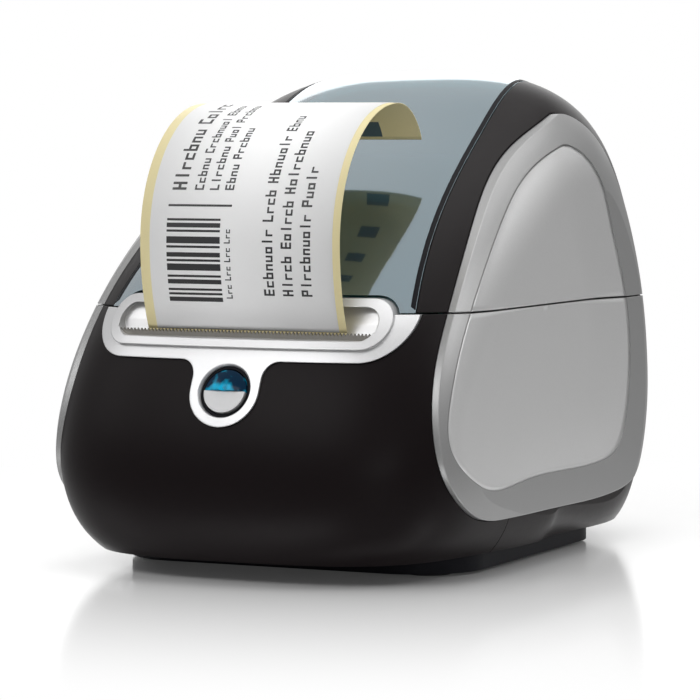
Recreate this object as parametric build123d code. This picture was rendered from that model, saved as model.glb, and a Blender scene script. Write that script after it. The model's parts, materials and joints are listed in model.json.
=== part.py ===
from build123d import *
import functools
import math
import os

# Desktop label printer. Millimetres, front towards -Y, +X to the right, the floor at z = 0.

# Body form: the side outline in the middle, the outline at the cheeks, each a list of (y, z),
# and how fast the body is drawn in from one to the other across its width
HALF_WIDTH = 61.0
CROWN = 2.8
REACH = 0.985
MID_OUTLINE = [(-4, -7), (40, -7.5), (68.5, -4.5), (88.5, 16), (93.5, 51.5), (85, 89), (67, 124.5), (45, 136),
               (3, 122.5), (-50, 93), (-73.5, 73), (-88.5, 47), (-93.5, 23), (-85.5, 4.5), (-60, -4)]
CHEEK_OUTLINE = [(-5, 14), (25, 13), (49.5, 16.5), (60, 34.5), (60.5, 54), (55, 75.5), (38.5, 96), (28, 101.5),
                 (7, 96.5), (-34, 71.5), (-51, 56), (-61.5, 42.5), (-63, 31), (-57.5, 24), (-40.5, 18.5)]
WIDTH_SHARES = (0.32, 0.52, 0.67, 0.78, 0.865, 0.925, 0.968, 1.0)

# Housing
WALL = 2.4
UNDERSIDE_Z = 5.6
PARTING_Z = 71.0
PARTING_GAP = 0.4
SEAM_Y = -38.0
SEAM_GAP = 0.15
FIT_GAP = 0.2
SEAT_GAP = 0.05

# Side panels
PANEL_OUTLINE = [(22.5, 123.3), (-5, 111.5), (-39, 89.5), (-60, 70), (-74, 47.5), (-74.5, 29.5), (-61, 18),
                 (-40, 15.4), (0, 15), (38, 15.4), (57, 20.5), (66, 39), (61, 69), (49.5, 93.5), (35.5, 114)]
DISH_OUTLINE = [(13, 114.7), (-6, 107.2), (-30, 92.4), (-56, 69.6), (-70, 50), (-73, 36), (-62, 26.4),
                (-30, 24.7), (25, 25), (41, 29), (48.5, 44), (46.5, 69), (34, 92), (24, 108)]
PANEL_PROUD = 0.9
PANEL_DEPTH = 2.2
PANEL_CLIP = 2.0
CLIP_HALF = 3.5
CLIP_X = 38.5
FRONT_CLIPS = ((-72.5, 36),)
REAR_CLIPS = ((-24, 15), (40, 15.3), (66.5, 46))
LID_CLIPS = ((-22, 100.8), (43.2, 104), (56.2, 81))
DISH_STEP = 0.5
DISH_DIP = 3.6

# Window of the lid: half width at the parting line, half way up, over the crest and at its rear edge
WINDOW_HALF = (45.3, 37.6, 34.2, 31.0)
WINDOW_Y = (-66.0, -22.0, 14.0, 57.0)
WINDOW_WALL = 2.0
WINDOW_CORNER = 12.0
LEDGE = 3.0
LEDGE_WALL = 1.6
ARCH = 4.0

# Exit bezel, seen from the front
BEZEL_HALF = 46.6
BEZEL_LOW_HALF = 35.0
BEZEL_LOW_Z = 58.6
BEZEL_BULGE = 2.6
BEZEL_PROUD = 0.5
BEZEL_WALL = 2.2
BEZEL_LEDGE = 1.2
RING_LENGTH = 83.0
RING_HEIGHT = 13.0
RING_Z = 68.5
RING_PROUD = 1.4
MOUTH_LENGTH = 76.5
MOUTH_HEIGHT = 8.8
MOUTH_DEPTH = 14.0
MOUTH_WALL = 1.5
SLIT = 1.7

# Feed button
BUTTON_Z = 50.7
BUTTON_R = 6.0
BUTTON_TRAVEL = 0.8
BUTTON_GAP = 0.3
COLLAR_WALL = 0.8
COLLAR_FLANGE = 1.3
CONE_R = 8.3
BOSS_R = 10.0
BOSS_NECK_FILLET = 4.5

# Paper path, followed backwards from the tear edge; rises are degrees above the forward direction
LINER_WIDTH = 59.0
LINER = 0.2
LABEL_WIDTH = 54.0
LABEL_SHIFT = 0.4
LABEL = 0.15
EXIT_Y = -74.2
EXIT_Z = 66.0
EXIT_RISE = 68.0
FEED_RISE = 25.0
EXIT_BEND_R = 10.0
FEED_BEND_R = 25.0
EXIT_RUN = 3.0
NIP_RUN = 4.0
CHUTE_RUN = 6.0
LEAN_R = 62.0
CURL_R = 37.0
TIP_R = 16.5
TIP_TURN = 66.0

# Tear bar
TEAR_HALF = 38.0
TEAR_WALL = 0.6
TEAR_TEETH = 72
TOOTH_HEIGHT = 0.9
TEAR_LOW = 3.2

# Label roll and its spool, carried by the lid
ROLL_Y = 16.0
ROLL_Z = 82.0
WEB_GAP = 0.5
SPINDLE_R = 11.8
SPINDLE_WALL = 2.0
SPINDLE_HALF = 39.6
STUB_R = 4.0
RUN_GAP = 0.08
CORE_WALL = 1.2
SLIP = 0.1
FLANGE_R = 27.0
FLANGE = 2.0
FLANGE_GAP = 0.3
CRADLE_X = 40.6
CRADLE_WALL = 3.0
CRADLE_HALF = 9.0

# Lid hinge
HINGE_Y = 86.0
HINGE_Z = 72.7
BARREL_R = 2.8
BARREL_HALF = 22.0
EAR_GAP = 0.4
EAR_WALL = 5.0
KNUCKLE_HALF = 40.0
LID_CLEAR_R = 3.3
LID_EDGE_RISE = 1.8
BASE_CLEAR_R = 4.7
PIN_R = 1.5
PIN_GAP = 0.05
PIN_LENGTH = 17.0

# Print mechanism
PLATEN_R = 5.0
PLATEN_HALF = 31.0
NIP_GAP = 0.4
SHAFT_R = 2.5
BUSH_WALL = 2.0
SIDE_PLATE_X = 33.5
SIDE_PLATE = 1.5
MODULE = 0.7
PLATEN_TEETH = 20
IDLER_TEETH = 36
PINION_TEETH = 12
GEAR_WIDTH = 3.2
MESH_SPREAD = 0.25
IDLER_ANGLE = -40.0
MOTOR_ANGLE = -68.0
MOTOR_R = 14.0
MOTOR_LENGTH = 20.0
HEAD_PIVOT_BACK = 15.0
HEAD_PIVOT_DROP = 4.6
HEAD_PIVOT_R = 1.5
HEAD_WALL = 1.6
CARRIER_WALL = 2.5

# Base, electronics and feet
FLOOR = 2.4
FOOT_HEIGHT = 0.8
FOOT_R = 6.0
FOOT_X = 40.0
FOOT_Y = 44.0
PLINTH_WIDTH = 105.0
PLINTH_DEPTH = 112.0
PLINTH_CORNER = 20.0
PLINTH_Y = -1.0
PLINTH_RECESS = 1.2
PLINTH_RIM = 4.0
SCREW_X = 39.5
SCREW_Y = 62.0
POST_R = 3.5
POST_X = 43.0
BOARD_Z = 14.0
BOARD = 1.6
BOARD_WIDTH = 56.0
BOARD_FRONT = 22.0
BOARD_REAR = 80.0
SOCKET_REAR = 88.6
USB_X = -18.0
USB_HALF = 6.0
USB_HEIGHT = 11.0
JACK_X = 10.0
JACK_HALF = 4.5
JACK_HEIGHT = 11.0
JACK_BORE_R = 3.1
JACK_PIN_R = 1.0
DECK_DROP = 1.6
DECK = 1.6
TRAY_HALF = 46.0
TRAY_CLEAR = 3.0
TRAY_SWEEP = 62.0
GUIDE_GAP = 0.6
GUIDE_WALL = 3.0
GUIDE_TRAVEL = 9.0
GUIDE_SLOT = 2.2
SCREW_R = 1.6
SCREW_HEAD_R = 2.8
SCREW_HEAD = 1.3


def drawn_in(points, inset):
    """Points of a closed outline moved inwards, square to the outline."""
    moved = []
    for i, (y, z) in enumerate(points):
        before = points[i - 1]
        after = points[(i + 1) % len(points)]
        run_y = after[0] - before[0]
        run_z = after[1] - before[1]
        length = math.hypot(run_y, run_z)
        moved.append((y - inset * run_z / length, z + inset * run_y / length))
    return moved


def crown(share):
    """How far the outline has gone from the middle one to the cheek one, at a share of the half width."""
    full = 1 - (1 - REACH ** CROWN) ** (1 / CROWN)
    return (1 - (1 - (share * REACH) ** CROWN) ** (1 / CROWN)) / full


def outline_parameters():
    """Chord lengths along the middle outline, used by every section so that the loft stays smooth."""
    lengths = [0.0]
    for i, point in enumerate(MID_OUTLINE):
        after = MID_OUTLINE[(i + 1) % len(MID_OUTLINE)]
        lengths.append(lengths[-1] + math.hypot(after[0] - point[0], after[1] - point[1]))
    return lengths


@functools.lru_cache(maxsize=None)
def hull(inset, dip=0.0):
    """The soft body, inset by a wall; dip hollows the cheeks."""
    middle = drawn_in(MID_OUTLINE, inset)
    cheek = drawn_in(CHEEK_OUTLINE, inset)
    knots = outline_parameters()
    shares = [-share for share in reversed(WIDTH_SHARES)] + [0.0] + list(WIDTH_SHARES)
    wires = []
    for share in shares:
        blend = crown(abs(share))
        x = share * (HALF_WIDTH - inset) - math.copysign(dip * blend ** 2, share)
        points = []
        for (y0, z0), (y1, z1) in zip(middle, cheek):
            points.append(Vector(x, y0 + blend * (y1 - y0), z0 + blend * (z1 - z0)))
        wires.append(Wire([Edge.make_spline(points, periodic=True, parameters=knots)]))
    return Solid.make_loft(wires)


def block(x0, x1, y0, y1, z0, z1):
    """A box between two corners."""
    return Pos((x0 + x1) / 2, (y0 + y1) / 2, (z0 + z1) / 2) * Box(x1 - x0, y1 - y0, z1 - z0)


def rod_x(x0, x1, y, z, radius):
    """A round bar along X."""
    return Pos((x0 + x1) / 2, y, z) * Rot(0, 90, 0) * Cylinder(radius, x1 - x0)


def post(x, y, z0, z1, radius):
    """A round post along Z."""
    return Pos(x, y, (z0 + z1) / 2) * Cylinder(radius, z1 - z0)


def across(face, x0, x1):
    """A side view, drawn as (y, z), carried across from x0 to x1."""
    return extrude(Plane.YZ.offset(x0) * face, x1 - x0)


def through(face, y_back, depth):
    """A front view, drawn as (x, z), carried forwards from y_back."""
    return extrude(Plane.XZ.offset(-y_back) * face, depth)


def closed_spline(points):
    """A flat face inside a smooth closed curve."""
    return make_face(Edge.make_spline([Vector(u, v) for u, v in points], periodic=True))


def slab(z0, z1):
    """Everything between two heights."""
    return block(-100, 100, -150, 150, z0, z1)


def side_prism(points, grow):
    """A side outline carried out through both cheeks."""
    face = closed_spline(drawn_in(points, -grow))
    return across(face, 30, 90) + across(face, -90, -30)


# Shared forms
OUTER = hull(0)
INNER = hull(WALL)
SHELL = OUTER - INNER
LOW_TOP = PARTING_Z - PARTING_GAP / 2
LID_LOW = PARTING_Z + PARTING_GAP / 2
PANEL_HOLE = side_prism(PANEL_OUTLINE, FIT_GAP)


def panel_clips(places):
    """Small clips on the edge of a cheek opening, each a block behind the panel, mirrored to both sides."""
    back = hull(PANEL_DEPTH + PANEL_CLIP, DISH_DIP)
    clips = []
    for y, z in places:
        tab = block(CLIP_X, HALF_WIDTH + 1, y - CLIP_HALF, y + CLIP_HALF, z - CLIP_HALF, z + CLIP_HALF)
        clip = (tab & hull(1.0)) - back
        clip = (clip - PANEL_HOLE) + (clip & hull(PANEL_DEPTH + SEAT_GAP, DISH_DIP))
        clips.append(clip)
        clips.append(mirror(clip, about=Plane.YZ))
    return clips


def joined(solid, pieces):
    """A solid with further pieces fused to it."""
    for piece in pieces:
        solid = solid + piece
    return solid


def heading(rise):
    """Direction in the side view of paper that runs forwards and up at an angle."""
    return (-math.cos(math.radians(rise)), math.sin(math.radians(rise)))


def ahead(point, rise, distance):
    """A point further along a straight run of the paper."""
    run = heading(rise)
    return (point[0] + distance * run[0], point[1] + distance * run[1])


def bend_start(end, radius, rise_from, rise_to):
    """Where a bend of the paper starts, from where it ends."""
    low = math.radians(rise_from)
    high = math.radians(rise_to)
    forward = radius * (math.sin(high) - math.sin(low))
    up = radius * (math.cos(low) - math.cos(high))
    return (end[0] + forward, end[1] - up)


EXIT = (EXIT_Y, EXIT_Z)
EXIT_BEND_END = ahead(EXIT, EXIT_RISE, -EXIT_RUN)
EXIT_BEND = bend_start(EXIT_BEND_END, EXIT_BEND_R, FEED_RISE, EXIT_RISE)
NIP = ahead(EXIT_BEND, FEED_RISE, -NIP_RUN)
CHUTE = ahead(NIP, FEED_RISE, -CHUTE_RUN)
WEB_START = bend_start(CHUTE, FEED_BEND_R, 0, FEED_RISE)
WEB_Z = WEB_START[1]
ROLL_R = ROLL_Z - WEB_Z - WEB_GAP
FEED_PLANE = Plane(origin=(0, NIP[0], NIP[1]), x_dir=(1, 0, 0),
                   z_dir=(0, math.sin(math.radians(FEED_RISE)), math.cos(math.radians(FEED_RISE))))


def on_feed(back, up):
    """A side-view point given behind the nip and above the feed plane."""
    point = FEED_PLANE.from_local_coords((0, back, up))
    return (point.Y, point.Z)


def turned(centre, angle, distance):
    """A side-view point at an angle and distance from another."""
    turn = math.radians(angle)
    return (centre[0] + distance * math.cos(turn), centre[1] + distance * math.sin(turn))


PLATEN = on_feed(0, PLATEN_R + NIP_GAP)
IDLER = turned(PLATEN, IDLER_ANGLE, MODULE * (PLATEN_TEETH + IDLER_TEETH) / 2 + MESH_SPREAD)
MOTOR = turned(IDLER, MOTOR_ANGLE, MODULE * (IDLER_TEETH + PINION_TEETH) / 2 + MESH_SPREAD)
HEAD_PIVOT = on_feed(HEAD_PIVOT_BACK, -HEAD_PIVOT_DROP)
DECK_TOP = WEB_Z - DECK_DROP
FLOOR_TOP = UNDERSIDE_Z + FLOOR
PLATE_OUT = SIDE_PLATE_X + SIDE_PLATE
TRAY_LOW = ROLL_Z - ROLL_R - TRAY_CLEAR
TRAY_FRONT = WEB_START[0] + 1.5
TRAY_STEP = MOTOR[0] + MOTOR_R + 1.0
TONGUE_HALF = LINER_WIDTH / 2 + 0.9
GUIDE_X = LINER_WIDTH / 2 + GUIDE_GAP
GUIDE_Y = TRAY_STEP + 8.5


def front_frame(z):
    """Plane on the front of the body at a height in the middle, its normal pointing out."""
    points = [Vector(0, y, z0) for y, z0 in MID_OUTLINE]
    edge = Edge.make_spline(points, periodic=True, parameters=outline_parameters())
    above, below = 0.6, 0.9
    for _ in range(40):
        middle = (above + below) / 2
        if edge.position_at(middle).Z > z:
            above = middle
        else:
            below = middle
    tangent = edge.tangent_at(above)
    return Plane(origin=edge.position_at(above), x_dir=(1, 0, 0), z_dir=(0, tangent.Z, -tangent.Y))


BUTTON_FRAME = front_frame(BUTTON_Z)
COLLAR_R = BUTTON_R + BUTTON_GAP + COLLAR_WALL


def on_button(radius, low, high):
    """A round bar along the button's axis, between two heights above the body's face."""
    return BUTTON_FRAME * Pos(0, 0, (low + high) / 2) * Cylinder(radius, high - low)


def bezel_face(grow):
    """The front outline of the bezel: a band with drawn-in lower corners and a round button boss."""
    half = BEZEL_HALF + grow
    low_half = BEZEL_LOW_HALF + grow
    low = BEZEL_LOW_Z - grow
    top = PARTING_Z
    bulge_x = (half + low_half) / 2 + BEZEL_BULGE
    bulge_z = (top + low) / 2 - BEZEL_BULGE
    edges = [
        Line((-half, top), (half, top)),
        ThreePointArc((half, top), (bulge_x, bulge_z), (low_half, low)),
        Line((low_half, low), (-low_half, low)),
        ThreePointArc((-low_half, low), (-bulge_x, bulge_z), (-half, top)),
    ]
    band = make_face(edges)
    boss_half = BOSS_R + grow
    boss_low = BUTTON_Z
    boss = Pos(0, boss_low) * Ellipse(boss_half, BOSS_R * BUTTON_FRAME.z_dir.Y * -1 + grow)
    neck = Pos(0, (boss_low + low) / 2 + 1) * Rectangle(2 * boss_half, low - boss_low + 2)
    face = band + boss + neck
    corners = [v for v in face.vertices() if abs(v.Y - low) < 0.01 and abs(abs(v.X) - boss_half) < 0.01]
    return fillet(corners, BOSS_NECK_FILLET)


def ring_face(grow):
    """The front outline of the raised ring round the paper slot."""
    return Pos(0, RING_Z) * SlotOverall(RING_LENGTH + 2 * grow, RING_HEIGHT + 2 * grow)


def front_cover():
    """Dark front shell with the opening for the bezel and ledges behind the bezel and the cheek pieces."""
    front = block(-100, 100, -150, SEAM_Y - SEAM_GAP, UNDERSIDE_Z, LOW_TOP)
    opening = through(bezel_face(FIT_GAP), -50, 60) + through(ring_face(FIT_GAP), -50, 60)
    ledge_skin = hull(BEZEL_WALL + SEAT_GAP) - hull(BEZEL_WALL + BEZEL_LEDGE)
    ledge_skin = ledge_skin & slab(UNDERSIDE_Z, LOW_TOP)
    ledge_ring = through(bezel_face(1.0), -50, 60) - through(bezel_face(-LEDGE), -50, 60)
    ledge = (ledge_skin & ledge_ring) - through(ring_face(FIT_GAP), -50, 60)
    ledge = ledge - on_button(BOSS_R + BOSS_NECK_FILLET, -14, 8)
    shell = (SHELL & front) - PANEL_HOLE - opening
    return joined(shell + ledge + screw_bosses(-1), panel_clips(FRONT_CLIPS))


def screw_bosses(side):
    """Two posts with ribs to the wall, at the front or the rear of the base, for the floor's screws."""
    y = side * SCREW_Y
    reach = side * 100
    bosses = []
    for x in (-SCREW_X, SCREW_X):
        column = post(x, y, FLOOR_TOP, FLOOR_TOP + 20, POST_R)
        rib = block(x - 1, x + 1, min(y, reach), max(y, reach), FLOOR_TOP, FLOOR_TOP + 18)
        boss = (column + rib) & hull(WALL / 2)
        bosses.append(boss - post(x, y, FLOOR_TOP - 1, FLOOR_TOP + 14, SCREW_R))
    return bosses[0] + bosses[1]


def rear_cover():
    """Dark rear shell with the hinge knuckles, the socket openings and ledges behind the cheek pieces."""
    rear = block(-100, 100, SEAM_Y + SEAM_GAP, 150, UNDERSIDE_Z, LOW_TOP)
    shell = joined((SHELL & rear) - PANEL_HOLE, panel_clips(REAR_CLIPS))
    half = KNUCKLE_HALF + EAR_GAP
    shell = shell - rod_x(-half, half, HINGE_Y, HINGE_Z, BASE_CLEAR_R)
    shell = shell - usb_opening() - jack_opening() + screw_bosses(1)
    return shell + hinge_ear(-1) + hinge_ear(1)


def hinge_ear(side):
    """One fixed knuckle of the lid hinge on its web."""
    inner = BARREL_HALF + EAR_GAP
    x0, x1 = sorted((side * inner, side * KNUCKLE_HALF))
    knuckle = rod_x(x0, x1, HINGE_Y, HINGE_Z, BARREL_R) & hull(FIT_GAP)
    w0, w1 = sorted((side * inner, side * (inner + EAR_WALL)))
    web = block(w0, w1, HINGE_Y - BARREL_R - 1.5, HINGE_Y, HINGE_Z - 14, HINGE_Z)
    root = block(w0, w1, HINGE_Y - BARREL_R - 1.5, HINGE_Y + 10, HINGE_Z - 14, HINGE_Z - 7)
    ear = knuckle + (web & hull(FIT_GAP)) + (root & hull(WALL / 2))
    pin_hole_end = side * (BARREL_HALF + EAR_GAP + PIN_LENGTH / 2 + PIN_GAP)
    h0, h1 = sorted((side * (inner - 1), pin_hole_end))
    return ear - rod_x(h0, h1, HINGE_Y, HINGE_Z, PIN_R + PIN_GAP / 2)


def hinge_pins():
    """Two steel pins, half in the fixed knuckles and half in the lid's barrel."""
    pins = []
    for side in (-1, 1):
        middle = side * (BARREL_HALF + EAR_GAP)
        pins.append(rod_x(middle - PIN_LENGTH / 2, middle + PIN_LENGTH / 2, HINGE_Y, HINGE_Z, PIN_R))
    return Compound(children=pins)


def side_panel(side, low, high):
    """One silver cheek piece between two heights: a flat rim round a soft hollow."""
    reach = block(0, 100, -150, 150, low, high) if side > 0 else block(-100, 0, -150, 150, low, high)
    skin = hull(-PANEL_PROUD) - hull(PANEL_DEPTH, DISH_DIP)
    dish = side_prism(DISH_OUTLINE, 0) - hull(DISH_STEP - PANEL_PROUD, DISH_DIP)
    arch = extrude(window_face(ARCH + FIT_GAP), 200)
    return (skin & side_prism(PANEL_OUTLINE, 0) & reach) - dish - arch


def mouth_back():
    """Everything in front of the sloping back wall of the mouth."""
    low = EXIT_Y + SLIT + MOUTH_WALL
    high = EXIT_Y + SLIT + 3.2 + MOUTH_WALL
    face = make_face(Polyline((-150, 30), (low, 30), (low, EXIT_Z - 1), (high, EXIT_Z + 8), (high, 120),
                              (-150, 120), close=True))
    return across(face, -90, 90)


def mouth_cut():
    """The hollow above the tear bar: a steep ramp behind the paper and a narrow slit for it."""
    front = EXIT_Y - 20
    slit_back = EXIT_Y + SLIT
    low = EXIT_Z - 1.9
    ramp = make_face(Polyline((front, low), (EXIT_Y - 0.7, low), (slit_back, EXIT_Z - 0.8),
                              (slit_back + 1.0, EXIT_Z + 2.2), (slit_back + 3.2, EXIT_Z + 6.8),
                              (front, EXIT_Z + 12), close=True))
    mouth = Pos(0, RING_Z - 0.1) * SlotOverall(MOUTH_LENGTH, MOUTH_HEIGHT)
    hollow = across(ramp, -50, 50) & through(mouth, -40, 70)
    slit = block(-TEAR_HALF + 2, TEAR_HALF - 2, EXIT_Y - 0.8, slit_back, EXIT_Z - 20, EXIT_Z)
    return hollow + slit + tear_pocket()


def tear_pocket():
    """Room in the bezel for the tear bar."""
    low = EXIT_Z - TEAR_LOW
    back = EXIT_Y - 0.65
    half = TEAR_HALF + SLIP
    return block(-half, half, back - TEAR_WALL - SLIP, back + SLIP, low - SLIP, EXIT_Z + 1)


def tear_bar():
    """Thin steel blade with a row of pointed teeth along its upper edge."""
    low = EXIT_Z - TEAR_LOW
    pitch = 2 * TEAR_HALF / TEAR_TEETH
    points = [(-TEAR_HALF, low), (-TEAR_HALF, EXIT_Z - TOOTH_HEIGHT)]
    for i in range(TEAR_TEETH):
        left = -TEAR_HALF + i * pitch
        points.append((left + pitch / 2, EXIT_Z))
        points.append((left + pitch, EXIT_Z - TOOTH_HEIGHT))
    points.append((TEAR_HALF, low))
    back = EXIT_Y - 0.65
    return through(make_face(Polyline(*points, close=True)), back, TEAR_WALL)


def exit_bezel():
    """Bright bezel: flush band, raised ring round the slot, hollow mouth and a coned button boss."""
    band = (hull(-BEZEL_PROUD) - hull(BEZEL_WALL)) & through(bezel_face(0), -40, 70)
    band = band & slab(UNDERSIDE_Z, LOW_TOP)
    ring = (hull(-RING_PROUD) - hull(BEZEL_WALL)) & through(ring_face(0), -40, 70)
    mouth = (hull(-BEZEL_PROUD) - hull(MOUTH_DEPTH)) & through(ring_face(-1), -40, 70) & mouth_back()
    cone = BUTTON_FRAME * Pos(0, 0, BEZEL_PROUD) * Cone(COLLAR_R, CONE_R, 2.0)
    hole = on_button(COLLAR_R + SLIP, -12, 12)
    return band + ring + mouth - mouth_cut() - cone - hole


def button_collar():
    """Black sleeve that guides the button, with a flange against the bezel and two legs for its board."""
    flange = on_button(COLLAR_R + COLLAR_FLANGE, -5, 0) & hull(BEZEL_WALL + SEAT_GAP)
    collar = on_button(COLLAR_R, -8, -0.6) + flange
    for side in (-1, 1):
        collar = collar + BUTTON_FRAME * Pos(side * (COLLAR_R - 0.2), 0, -9.5) * Box(2.0, 5.0, 4.0)
    return collar - on_button(COLLAR_R - COLLAR_WALL, -20, 5)


def button_cap():
    """Silver lower half of the button with its stem; its upper half holds the lens."""
    body = on_button(BUTTON_R, -6.5, 0.2)
    seat = BUTTON_FRAME * Pos(0, BUTTON_R, 0) * Box(4 * BUTTON_R, 2 * BUTTON_R, 6.0)
    hollow = on_button(BUTTON_R - 1.6, -7, -3.6)
    stem = on_button(2.0, -9.1, -3)
    return body - seat - hollow + stem


def button_lens():
    """Clear blue upper half of the button, a little prouder and domed."""
    dome = BUTTON_FRAME * Pos(0, 0, -13.2) * Sphere(14.2)
    half = BUTTON_FRAME * Pos(0, BUTTON_R + 0.05, 0) * Box(4 * BUTTON_R, 2 * BUTTON_R, 6.0 - 2 * 0.05)
    return on_button(BUTTON_R, -2.95, 3) & dome & half


def button_board():
    """Small board behind the button."""
    return BUTTON_FRAME * Pos(0, 0, -12.2) * Box(20.0, 12.0, 1.4)


def feed_switch():
    """Press switch under the button's stem."""
    case = BUTTON_FRAME * Pos(0, 0, -10.75) * Box(6.0, 6.0, 1.5)
    return case


def status_lamp():
    """Small lamp on the board beside the switch, under the lens."""
    body = BUTTON_FRAME * Pos(0, 4.6, -11.0) * Box(2.4, 1.6, 1.0)
    return body


def liner_wire():
    """Centre line of the paper in the side view, from under the roll to its free end."""
    lead = (ROLL_Y, WEB_Z)
    run = Line(lead, WEB_START)
    lift = JernArc(WEB_START, heading(0), FEED_BEND_R, -FEED_RISE)
    feed = Line(CHUTE, EXIT_BEND)
    bend = JernArc(EXIT_BEND, heading(FEED_RISE), EXIT_BEND_R, FEED_RISE - EXIT_RISE)
    out = Line(EXIT_BEND_END, EXIT)
    return [run, lift, feed, bend, out] + free_paper()


def free_paper():
    """The paper that stands out of the slot: it leans forwards, then curls back over itself."""
    lean = JernArc(EXIT, heading(EXIT_RISE), LEAN_R, EXIT_RISE - 90)
    curl = JernArc(lean @ 1, lean % 1, CURL_R, -90)
    tip = JernArc(curl @ 1, curl % 1, TIP_R, -TIP_TURN)
    return [lean, curl, tip]


def label_liner():
    """Backing paper, one strip from the roll through the nip and out of the slot."""
    return across(trace(Curve() + liner_wire(), LINER), -LINER_WIDTH / 2, LINER_WIDTH / 2)


def printed_label():
    """The label on the outer face of the free paper."""
    lean, curl, tip = free_paper()
    shift = LINER / 2 + LABEL / 2
    arcs = [offset_arc(lean, shift, 0.12, 1), offset_arc(curl, shift, 0, 1), offset_arc(tip, shift, 0, 0.9)]
    face = trace(Curve() + arcs, LABEL)
    return across(face, LABEL_SHIFT - LABEL_WIDTH / 2, LABEL_SHIFT + LABEL_WIDTH / 2)


def offset_arc(arc, distance, start, end):
    """The same arc, further out, between two shares of its length."""
    points = []
    for share in (start, (start + end) / 2, end):
        point = arc @ share
        centre = arc.arc_center
        away = (point - centre).normalized()
        points.append(point + away * distance)
    return ThreePointArc(*points)


def roll_tray():
    """Floor of the roll bay: a flat deck under the web that sweeps up behind the roll."""
    radius = ROLL_R + TRAY_CLEAR
    low = (ROLL_Y, TRAY_LOW)
    sweep = JernArc(low, (1, 0), radius, TRAY_SWEEP)
    deck = Line((TRAY_FRONT, TRAY_LOW), low)
    back = Line(sweep @ 1, (sweep @ 1) + Vector(24, 1.5))
    plate = across(trace(Curve() + [deck, sweep, back], DECK), -TRAY_HALF, TRAY_HALF)
    plate = plate & hull(WALL + FIT_GAP) & slab(0, LOW_TOP - 1)
    for side in (-1, 1):
        x0, x1 = sorted((side * TONGUE_HALF, side * 100))
        plate = plate - block(x0, x1, -100, TRAY_STEP, 0, 100)
        x0, x1 = sorted((side * TRAY_HALF, side * (TRAY_HALF - DECK)))
        cheek = block(x0, x1, TRAY_STEP, ROLL_Y + 30, TRAY_LOW, LOW_TOP - 3)
        bowl = rod_x(-90, 90, ROLL_Y, ROLL_Z, radius) + block(-90, 90, -90, ROLL_Y, TRAY_LOW, 90)
        plate = plate + (cheek & bowl & hull(WALL + 2 * LEDGE_WALL, DISH_DIP))
    half = GUIDE_SLOT / 2 + SLIP
    slot_end = GUIDE_X + GUIDE_WALL + GUIDE_TRAVEL + 0.5
    return plate - block(-slot_end, -GUIDE_X, GUIDE_Y - half, GUIDE_Y + half, 0, TRAY_LOW + 5)


def label_guide():
    """Edge guide that slides across the deck, with a tongue through its slot."""
    top = TRAY_LOW + DECK / 2
    fence = block(-GUIDE_X - GUIDE_WALL, -GUIDE_X, GUIDE_Y - 7, GUIDE_Y + 7, top + SLIP, top + 9)
    half = GUIDE_SLOT / 2
    low = top - DECK
    x0, x1 = -GUIDE_X - GUIDE_WALL, -GUIDE_X - 0.5
    tongue = block(x0, x1, GUIDE_Y - half, GUIDE_Y + half, low - 1.5, top + 1)
    foot = block(x0, x1, GUIDE_Y - 3, GUIDE_Y + 3, low - 2, low - SLIP)
    return fence + tongue + foot


def window_face(grow):
    """The window seen from above: it narrows towards the rear."""
    halves = [half + grow for half in WINDOW_HALF]
    front = -110
    rear = WINDOW_Y[3] + grow
    edge = list(zip(halves, (WINDOW_Y[0], WINDOW_Y[1], WINDOW_Y[2], rear)))
    right = Spline(*edge)
    left = Spline(*[(-x, y) for x, y in reversed(edge)])
    corner = (halves[0], front)
    apron = Polyline((-halves[0], WINDOW_Y[0]), (-halves[0], front), corner, (halves[0], WINDOW_Y[0]))
    face = make_face(apron.edges() + [right, Line((halves[3], rear), (-halves[3], rear)), left])
    corners = [v for v in face.vertices() if abs(v.Y - rear) < 0.01]
    return fillet(corners, WINDOW_CORNER)


def lid_window():
    """Clear blue-grey cover, notched round the ring of the bezel."""
    sheet = (OUTER - hull(WINDOW_WALL)) & extrude(window_face(0), 200) & slab(LID_LOW, 200)
    return sheet - through(ring_face(0.7), -40, 70)


def lid_frame():
    """Dark hoop round the window, with the rear wall, a ledge under the window and the hinge barrel."""
    shell = SHELL & slab(LID_LOW, 200)
    arch = extrude(window_face(ARCH), 200)
    shell = shell - (PANEL_HOLE - arch) - extrude(window_face(FIT_GAP), 200)
    ledge = (hull(WINDOW_WALL + SEAT_GAP) - hull(WALL + LEDGE_WALL)) & slab(LID_LOW, 200)
    ledge = ledge & (extrude(window_face(1.0), 200) - extrude(window_face(-LEDGE), 200))
    ledge = ledge & block(-100, 100, WINDOW_Y[0] + 8, 150, 0, 200)
    frame = joined(shell + ledge - hinge_room(), panel_clips(LID_CLIPS))
    barrel = rod_x(-BARREL_HALF, BARREL_HALF, HINGE_Y, HINGE_Z, BARREL_R)
    web = block(-BARREL_HALF, BARREL_HALF, HINGE_Y - BARREL_R, HINGE_Y + BARREL_R, HINGE_Z, HINGE_Z + 8)
    web = web & hull(FIT_GAP)
    bore = rod_x(-BARREL_HALF - 1, BARREL_HALF + 1, HINGE_Y, HINGE_Z, PIN_R + PIN_GAP)
    return frame + barrel + web - bore


def hinge_room():
    """Space cut from the rear edge of the lid so that it turns clear of the fixed knuckles."""
    half = KNUCKLE_HALF + EAR_GAP
    edge = block(-half, half, HINGE_Y - 1, 150, 0, HINGE_Z + LID_EDGE_RISE)
    return edge + rod_x(-half, half, HINGE_Y, HINGE_Z, LID_CLEAR_R)


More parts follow.
